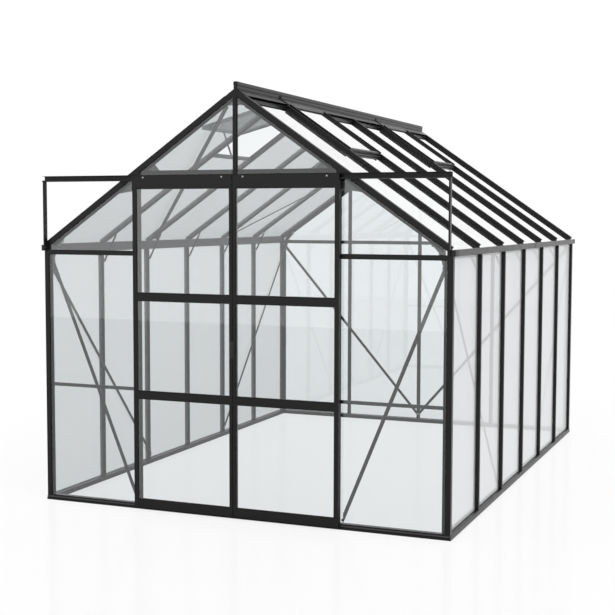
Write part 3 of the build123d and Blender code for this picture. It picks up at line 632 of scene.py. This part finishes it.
def flat_outline(corners):
    """Outer face of a flat solid: its thinnest direction from the corners' spread, turned away from the
    house's middle, and the corners of that face in order of their angle about its centre."""
    centre = corners.mean(0)
    normal = np.linalg.svd(corners - centre)[2][2]
    normal = normal * np.sign(normal @ (centre - HOUSE_MIDDLE))
    height = (corners - centre) @ normal
    face = corners[height > height.max() - IN_FACE]
    middle = face.mean(0)
    first = unit(face[0] - middle)
    second = np.cross(normal, first)
    order = np.argsort(np.arctan2((face - middle) @ second, (face - middle) @ first))
    return face[order], normal


def bar_ends(corners):
    """Centre, length direction, half length, inward direction and depth of the inner face of a flat bar, from
    the spread of its corners."""
    centre = corners.mean(0)
    along, _, normal = np.linalg.svd(corners - centre)[2]
    normal = normal * np.sign(normal @ (HOUSE_MIDDLE - centre))
    reach = np.abs((corners - centre) @ along).max()
    return centre, along, reach, normal, ((corners - centre) @ normal).max()


def finish_nodes():
    """Gives each carried-over part its slot's finish. Long walls, roof and vents have glass of their own."""
    for part in frame["record"]["subparts"]:
        finish = PANE_NODES.get(part["node"], part["material_slot"])
        for place in frame["nodes"][part["node"]].material_slots:
            place.material = finishes[finish]


def capping_profile(width):
    """Section of a snap-on capping over a bar's head: rounded shoulders and a groove along its middle."""
    edge = width / 2 + CAPPING_WALL
    ease = CAPPING_GROOVE_EASE
    return mirror_section([
        (edge, -CAPPING_GRIP, 0.0), (edge, CAPPING_RISE, CAPPING_SHOULDER),
        (CAPPING_GROOVE, CAPPING_RISE, ease),
        (CAPPING_GROOVE - CAPPING_WALL, CAPPING_RISE - CAPPING_GROOVE_DEPTH, ease)])


def add_bar_cappings():
    """Cappings on every glazing bar's head: along the long walls, down both slopes and up both gables."""
    shapes = []
    for bar in node_solids("side_wall_bars"):
        side = np.sign(bar[:, 0].mean())
        face = bar[np.abs(bar[:, 0]) > np.abs(bar[:, 0]).max() - IN_FACE]
        low, high = face.min(0), face.max(0)
        line = np.array((face[0, 0], (low[1] + high[1]) / 2, 0.0))
        profile = capping_profile(high[1] - low[1])
        shapes.append(sweep(profile, line + UP * low[2], line + UP * high[2], -FORE, (side, 0, 0)))
    add_piece("wall_bar_cappings", join_shapes(shapes), "frame")

    shapes = []
    for node in ("rafters", "left_verge_bars", "right_verge_bars"):
        for bar in node_solids(node):
            down, out = slope_axes(np.sign(bar[:, 0].mean()))
            height = (bar - APEX) @ out
            face = bar[height > height.max() - IN_FACE]
            run = (face - APEX) @ down
            low, high = face[:, 1].min(), face[:, 1].max()
            line = APEX + out * height.max() - FORE * (low + high) / 2
            start = max(run.min(), WING_LENGTH + CAPPING_RIDGE_GAP)
            profile = capping_profile(high - low)
            shapes.append(sweep(profile, line + down * start, line + down * run.max(), -FORE, out))
    add_piece("roof_bar_cappings", join_shapes(shapes), "frame")

    shapes = []
    for node in ("gable_bars", "door_posts"):
        for bar in node_solids(node):
            side = np.sign(bar[:, 1].mean())
            reach = side * bar[:, 1]
            face = bar[reach > reach.max() - IN_FACE]
            low, high = face.min(0), face.max(0)
            top = min(face[np.abs(face[:, 0] - x) < IN_FACE, 2].max() for x in (low[0], high[0]))
            line = np.array(((low[0] + high[0]) / 2, face[0, 1], 0.0))
            profile = capping_profile(high[0] - low[0])
            shapes.append(sweep(profile, line + UP * low[2], line + UP * top, (1, 0, 0), (0, side, 0)))
    add_piece("gable_bar_cappings", join_shapes(shapes), "frame")


def add_ridge():
    """Ridge capping: a bulb, a groove, a flat neck and two sloped wings with a bead, mirrored about the
    middle and carried along the house, with its web below. Soft sleeves of the same outline close its joints,
    and covers lie over the hinges of the vents."""
    low, high = (np.array(corner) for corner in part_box("ridge"))
    top = high[2] - APEX[2]
    foot = low[2] - APEX[2]
    neck = top - BULB_HEIGHT
    rise = 1 / cos(ROOF_PITCH)
    root = WING_TOP * rise - WEB_HALF * tan(ROOF_PITCH)
    under = WING_UNDER * rise - WEB_HALF * tan(ROOF_PITCH)
    down, out = (axis[[0, 2]] for axis in slope_axes(1))

    def section(neck_rows, root_rows, wing_rows):
        """Puts rows on the neck, at the root and on the wing into the section's own place."""
        return ([(WEB_HALF + past, neck + above, cut) for past, above, cut in neck_rows]
                + [(WEB_HALF + past, root + above, cut) for past, above, cut in root_rows]
                + [(*(down * (WING_LENGTH + past) + out * above), cut) for past, above, cut in wing_rows])

    half = section(NECK_ROWS, ROOT_ROWS, WING_ROWS)
    outline = mirror_section([(BULB_HALF, top, BULB_EASE)] + half + [(WEB_HALF, under, 0.0)])
    capping = sweep(outline, APEX - FORE * low[1], APEX - FORE * high[1], (1, 0, 0), UP)
    web = node_points("ridge")
    web = web[web[:, 2] < low[2] + WEB_FOOT_BAND, 1]
    outline = mirror_section([(WEB_HALF, under, 0.0), (WEB_HALF, foot, WEB_EASE)])
    stem = sweep(outline, APEX - FORE * web.min(), APEX - FORE * web.max(), (1, 0, 0), UP)
    whole = join_shapes([capping, stem])
    add_piece("ridge_capping", whole, "frame", stands_for=("ridge", "ridge_wings"))

    rows = section(JOINT_NECK_ROWS, JOINT_ROOT_ROWS, JOINT_WING_ROWS) + [(WEB_HALF, root - JOINT_INSIDE, 0.0)]
    rows = np.array(rows)
    sleeve = ease_corners(rows[:, :2], rows[:, 2])
    joints = APEX - FORE * np.array(RIDGE_JOINTS)[:, None]
    reach = FORE * JOINT_LENGTH / 2
    shapes = [sweep(sleeve, joints + reach, joints - reach, (side, 0, 0), UP) for side in (1, -1)]
    add_piece("ridge_joints", join_shapes(shapes), "rubber")

    shapes = []
    base = WING_TOP + HINGE_COVER_SEAT
    tip = base + HINGE_COVER_WALL
    ease = HINGE_COVER_EASE
    for pane in node_solids("vent_glass"):
        side = np.sign(pane[:, 0].mean())
        lap = WING_LENGTH + (HINGE_COVER_LAP if side > 0 else HINGE_COVER_OPEN_LAP)
        plate = [(HINGE_COVER_START, base), (lap, base), (lap, tip), (HINGE_COVER_START, tip)]
        plate = ease_corners(plate, (0.0, ease, ease, 0.0))
        start, end = pane[:, 1].min() - HINGE_COVER_SIDE, pane[:, 1].max() + HINGE_COVER_SIDE
        shapes.append(sweep(plate, APEX - FORE * start, APEX - FORE * end, *slope_axes(side)))
    add_piece("hinge_covers", join_shapes(shapes), "frame")


def add_vent_cappings():
    """Rounded cappings on the four rails of each vent, carried round its pane's outline, and an upright
    flange carried along each of its two sides."""
    shapes = []
    base, inside = VENT_CAPPING_BASE, VENT_FLANGE_WIDTH - VENT_RAIL
    capping = box_section(-VENT_RAIL, -VENT_PANE_GAP, base, base + VENT_CAPPING_RISE, VENT_CAPPING_EASE)
    flange = box_section(-VENT_RAIL, inside, base, base + VENT_FLANGE_RISE, VENT_FLANGE_EASE)
    for pane in node_solids("vent_glass"):
        corners, normal = flat_outline(pane)
        shapes.append(loop_frame(capping, corners, normal))
        after = np.roll(corners, -1, 0)
        edge = unit(after - corners)
        sides = np.abs(edge @ FORE) < 0.5
        start, end, edge = corners[sides], after[sides], edge[sides]
        lap = edge * VENT_RAIL
        shapes.append(sweep(flange, start - lap, end + lap, np.cross(normal, edge), normal))
    add_piece("vent_cappings", join_shapes(shapes), "frame")


def add_sill_beads():
    """Beads along the outer faces of the four sills: a flat lens that stands out by its depth, in a pale grey
    that is a painted highlight of the light on the sills' ledge.
    """
    angle = np.linspace(-pi / 2, pi / 2, SILL_BEAD_STEPS)
    lens = np.stack((SILL_BEAD_DEPTH * np.cos(angle), SILL_BEAD_HEIGHT / 2 * np.sin(angle)), 1)
    shapes = []
    faces = {"front_sill": FORE, "back_sill": -FORE, "left_sill": (-1, 0, 0), "right_sill": (1, 0, 0)}
    for node, out in faces.items():
        low, high = (np.array(corner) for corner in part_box(node))
        out = np.asarray(out, float)
        along = np.abs(np.cross(UP, out))
        face = out * (np.abs(np.where(out > 0, high, low)) - SILL_LIP) + UP * SILL_BEAD_PLACE
        start, end = along * (low + SILL_LIP), along * (high - SILL_LIP)
        shapes.append(sweep(lens, face + start, face + end, out, UP))
    add_piece("sill_beads", join_shapes(shapes), "bead")


def add_seals():
    """Rubber seals in the gap round each pane, a wedge that laps the glass, and glazing beads inside the
    doors' and vents' frames, on both faces of the doors' panes."""
    for node in ("front_glass", "back_glass", "side_wall_glass", "roof_glass"):
        shapes = [loop_frame(SEAL_WEDGE, *flat_outline(pane)) for pane in node_solids(node)]
        add_piece(node.replace("glass", "seals"), join_shapes(shapes), "rubber")
    bodies = {"left_door_glass": "left_door", "right_door_glass": "right_door", "vent_glass": "house"}
    for node, body in bodies.items():
        beads = (OUTER_BEAD,) if body == "house" else (OUTER_BEAD, INNER_BEAD)
        panes = [flat_outline(pane) for pane in node_solids(node)]
        shapes = [loop_frame(bead, *pane) for pane in panes for bead in beads]
        add_piece(node.replace("glass", "beads"), join_shapes(shapes), "rubber", body)


def bolt_shape(centres, axes):
    """Bolts: a round washer under a six-sided head with a worn rim, one of each at every centre."""
    top = WASHER_HEIGHT + BOLT_HEIGHT
    washer = turn_shape([(WASHER_RADIUS, 0.0), (WASHER_RADIUS, WASHER_HEIGHT)], centres, axes, WASHER_SIDES)
    head = [(BOLT_RADIUS, 0.0), (BOLT_RADIUS, top - BOLT_RIM), (BOLT_RADIUS - BOLT_RIM, top)]
    return join_shapes([washer, turn_shape(head, centres, axes, 6)])


def add_bolts():
    """Bolts through the ends of every strap and the corners of every plate, their heads inside the house."""
    centres, axes = [], []
    for node in ("gable_straps", "side_straps", "roof_straps", "knee_straps"):
        for strap in node_solids(node):
            centre, along, reach, normal, face = bar_ends(strap)
            for end in (-1, 1):
                centres.append(centre + along * end * (reach - STRAP_BOLT_INSET) + normal * face)
                axes.append(normal)
    add_piece("strap_bolts", bolt_shape(centres, axes), "steel")
    centres, axes = [], []
    for plate in node_solids("gusset_plates"):
        corners, normal = flat_outline(plate)
        depth = np.ptp(plate @ normal)
        middle = corners.mean(0)
        centres.extend(middle + (corners - middle) * PLATE_BOLT_SHARE - normal * depth)
        axes.extend(np.tile(-normal, (len(corners), 1)))
    add_piece("plate_bolts", bolt_shape(centres, axes), "steel")


def add_brace_flanges():
    """Flanges that stiffen the braces of the two front roof bays: a thin plate carried along each brace's
    front edge, square to it and into the house."""
    shapes = []
    for brace in node_solids("roof_straps"):
        centre, along, reach, normal, face = bar_ends(brace)
        if centre[1] > HOUSE_MIDDLE[1]:
            continue
        across = np.cross(along, normal)
        across = across * np.sign(across @ FORE)
        edge = ((brace - centre) @ across).max()
        wall = BRACE_FLANGE_WALL
        plate = box_section(edge - wall, edge, face - wall, face + BRACE_FLANGE_DEPTH, BRACE_FLANGE_EASE)
        half = along * (reach - BRACE_FLANGE_INSET)
        shapes.append(sweep(plate, centre - half, centre + half, across, normal))
    add_piece("brace_flanges", join_shapes(shapes), "frame")


def add_door_fittings():
    """Rollers turned with a tread, a flange and a hub, their domed axle heads on the header plates, and the
    handle: a rounded plate that draws in to a raised grip, in rings of |cos| and |sin| to a power."""
    dome = [(AXLE_HEAD_RADIUS * share, height) for share, height in AXLE_HEAD_ROWS]
    for side in ("left", "right"):
        node = side + "_door_rollers"
        body = side + "_door"
        rollers = node_solids(node)
        low = np.array([roller.min(0) for roller in rollers])
        high = np.array([roller.max(0) for roller in rollers])
        centres = (low + high) / 2
        backs = np.stack((centres[:, 0], high[:, 1], centres[:, 2]), 1)
        length = np.ptp(rollers[0][:, 1])
        radius = np.ptp(rollers[0][:, 2]) / 2
        turned = ([(ROLLER_BORE, 0.0)] + [(radius - drop, place) for drop, place in ROLLER_ROWS]
                  + [(ROLLER_HUB, ROLLER_HUB_START), (ROLLER_HUB, length)])
        wheels = turn_shape(turned, backs, FORE, ROLLER_SIDES)
        add_piece(side + "_roller_wheels", wheels, "plastic", body, (node,))
        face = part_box(side + "_door_header")[0].y
        heads = np.stack((centres[:, 0], np.full(len(centres), face), centres[:, 2]), 1)
        domes = turn_shape(dome, heads, FORE, AXLE_HEAD_SIDES)
        add_piece(side + "_axle_heads", domes, "steel", body)

    low, high = (np.array(corner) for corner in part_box("left_door_handle"))
    middle, half = (low + high) / 2, (high - low) / 2
    angle = np.linspace(0.0, 2 * pi, HANDLE_SIDES, endpoint=False)
    wide, tall = np.cos(angle), np.sin(angle)
    wide = np.sign(wide) * np.abs(wide) ** HANDLE_WIDTH_POWER
    tall = np.sign(tall) * np.abs(tall) ** HANDLE_HEIGHT_POWER
    rings = np.empty((len(HANDLE_ROWS), HANDLE_SIDES, 3))
    rings[:, :, 0] = middle[0] + half[0] * HANDLE_ROWS[:, :1] * wide
    rings[:, :, 1] = high[1] - HANDLE_ROWS[:, 2:]
    rings[:, :, 2] = middle[2] + half[2] * HANDLE_ROWS[:, 1:2] * tall
    grip = rings.reshape(-1, 3), list(ring_faces(len(HANDLE_ROWS), HANDLE_SIDES))
    add_piece("left_handle_grip", grip, "grip", "left_door", ("left_door_handle",))


def add_gutter_trim():
    """Rolled lips along the gutters' top edges, of a round section, and a sleeve over the joint of each."""
    angle = np.linspace(0.0, 2 * pi, LIP_SIDES, endpoint=False)
    rod = LIP_RADIUS * np.stack((np.cos(angle), np.sin(angle)), 1)
    low, high = (np.array(corner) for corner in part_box("gutter_faces"))
    inner, outer = high[0] + SLEEVE_GAP, high[0] + SLEEVE_GAP + SLEEVE_WALL
    base = low[2] - SLEEVE_GAP
    floor, top = base - SLEEVE_WALL, high[2] + SLEEVE_RISE
    back = WALL_LINE + SLEEVE_BACK
    sleeve = [(inner, top), (outer, top), (outer, floor), (back, floor), (back, base), (inner, base)]
    middle = -FORE * SLEEVE_PLACE
    reach = FORE * SLEEVE_LENGTH / 2
    shapes = []
    for side in (-1, 1):
        line = np.array((side * (high[0] - LIP_INSET), 0.0, high[2] - LIP_DROP))
        shapes.append(sweep(rod, line - FORE * low[1], line - FORE * high[1], (1, 0, 0), UP))
        shapes.append(sweep(sleeve, middle + reach, middle - reach, (side, 0, 0), UP))
    add_piece("gutter_trim", join_shapes(shapes), "frame")


def add_stay_pegs():
    """Pegs in a row along each vent's stay, short turned studs on its free face."""
    centres, axes = [], []
    for stay in node_solids("vent_stays"):
        centre, along, reach, normal, face = bar_ends(stay)
        steps = np.linspace(-PEG_SPREAD, PEG_SPREAD, PEG_COUNT)[:, None] * reach
        centres.extend(centre + along * steps + normal * face)
        axes.extend(np.tile(normal, (PEG_COUNT, 1)))
    add_piece("stay_pegs", turn_shape(PEG_ROWS, centres, axes, PEG_SIDES), "steel")


finishes = {finish: make_coat(**coat) for finish, coat in COATS.items()}
finishes["steel"] = make_zinc()
finishes.update({finish: make_glass(**pane) for finish, pane in PANES.items()})
make_stage()
finish_nodes()
add_bar_cappings()
add_ridge()
add_vent_cappings()
add_sill_beads()
add_seals()
add_bolts()
add_brace_flanges()
add_door_fittings()
add_gutter_trim()
add_stay_pegs()
